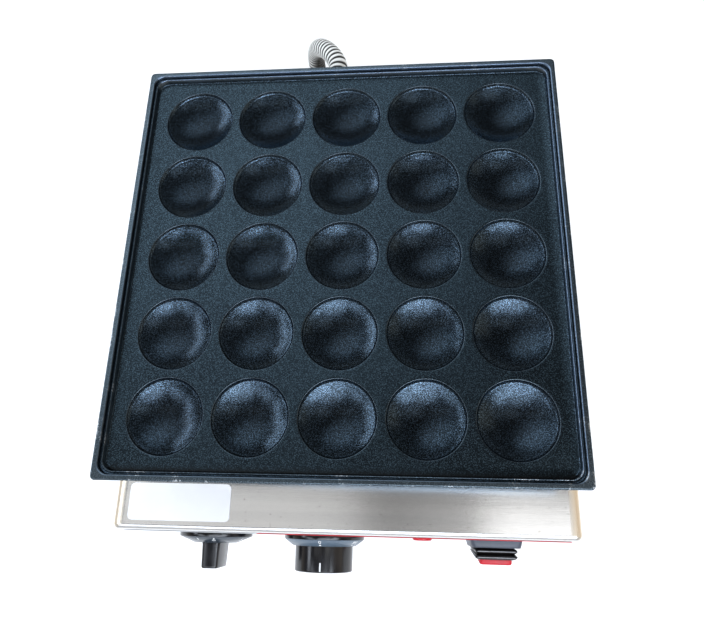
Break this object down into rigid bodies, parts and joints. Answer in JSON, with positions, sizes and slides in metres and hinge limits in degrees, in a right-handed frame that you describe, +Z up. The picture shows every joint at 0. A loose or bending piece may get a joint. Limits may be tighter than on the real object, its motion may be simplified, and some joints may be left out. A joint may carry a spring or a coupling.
{
  "type": "electric mini pancake grill",
  "caption": "Countertop electric mini-pancake grill: square non-stick plate of round pits on a steel box with timer, thermostat, pilot lamp and covered rocker switch.",
  "frame": {"origin": "on the surface it stands on, under the middle of the bounding box of the whole grill, its knobs and its rear hose", "axes": "+X to the right seen from the front, +Y to the rear, +Z up; the control panel faces -Y"},
  "size_m": [0.3, 0.4239, 0.1715],
  "materials": {
    "black_plastic": "satin gloss",
    "rubber": "matte",
    "stainless": "fine brushed",
    "copper": "bare drawn copper",
    "cream_moulding": "matte",
    "grey_plastic": "matte",
    "lead_sleeve": "matte woven sleeve",
    "boot_rubber": "glossy",
    "mineral_mat": "matte felted fibre",
    "plated_brass": "satin nickel plating",
    "coated_casting": "satin dark slate non-stick coating with fine speckle",
    "element_sheath": "heat darkened, matte",
    "red_lens": "translucent, glossy",
    "panel_film": "thin printed film, semi-gloss",
    "red_plastic": "glossy",
    "wire_sleeve": "matte",
    "label_film": "thin blank film, matte",
    "zinc_steel": "dull zinc plating"
  },
  "bodies": {
    "grill": {"base_plate": "zinc_steel", "blank_label": "label_film", "body_shell": "stainless", "clamp_bar_front": "zinc_steel", "clamp_bar_rear": "zinc_steel", "element_lead_left": "lead_sleeve", "element_lead_right": "lead_sleeve", "foot_front_left": "rubber", "foot_front_right": "rubber", "foot_rear_left": "rubber", "foot_rear_right": "rubber", "foot_screw_front_left": "zinc_steel", "foot_screw_front_right": "zinc_steel", "foot_screw_rear_left": "zinc_steel", "foot_screw_rear_right": "zinc_steel", "griddle_plate": "coated_casting", "heating_element": "element_sheath", "hose_fitting_lower": "plated_brass", "hose_fitting_upper": "plated_brass", "hose_nut_lower": "plated_brass", "hose_nut_upper": "plated_brass", "insulation_mat": "mineral_mat", "lamp_body": "cream_moulding", "lamp_lens": "red_lens", "lamp_nut": "zinc_steel", "mains_gland": "black_plastic", "mains_gland_nut": "black_plastic", "panel_film": "panel_film", "pillar_front_left": "stainless", "pillar_front_right": "stainless", "pillar_rear_left": "stainless", "pillar_rear_right": "stainless", "plate_stud_front_left": "zinc_steel", "plate_stud_front_right": "zinc_steel", "plate_stud_rear_left": "zinc_steel", "plate_stud_rear_right": "zinc_steel", "plate_tray": "stainless", "ribbed_hose": "stainless", "switch_bezel": "grey_plastic", "switch_boot": "boot_rubber", "switch_housing": "black_plastic", "switch_pin": "zinc_steel", "terminal_block": "cream_moulding", "thermostat_body": "zinc_steel", "thermostat_bulb": "copper", "thermostat_capillary": "copper", "thermostat_screw_left": "zinc_steel", "thermostat_screw_right": "zinc_steel", "timer_body": "cream_moulding", "timer_nut": "plated_brass", "wire_lamp": "wire_sleeve", "wire_switch": "wire_sleeve", "wire_thermostat": "wire_sleeve", "wire_timer": "wire_sleeve"},
    "timer": {"timer_shaft": "zinc_steel", "timer_knob": "black_plastic"},
    "thermostat": {"thermostat_shaft": "zinc_steel", "thermostat_knob": "black_plastic"},
    "rocker": {"switch_paddle": "cream_moulding", "rocker_cap": "red_plastic"}
  },
  "joints": [
    {"name": "timer_turn", "type": "hinge", "parent": "grill", "child": "timer", "pos_m": [-0.09351, -0.18715, 0.0796], "axis": [0, 1, 0], "range_deg": [0, 320]},
    {"name": "thermostat_turn", "type": "hinge", "parent": "grill", "child": "thermostat", "pos_m": [-0.01551, -0.18715, 0.0796], "axis": [0, 1, 0], "range_deg": [0, 300]},
    {"name": "rocker_press", "type": "hinge", "parent": "grill", "child": "rocker", "pos_m": [0.10149, -0.18315, 0.0796], "axis": [1, 0, 0], "range_deg": [-18, 0], "deforming": ["switch_boot"]}
  ]
}
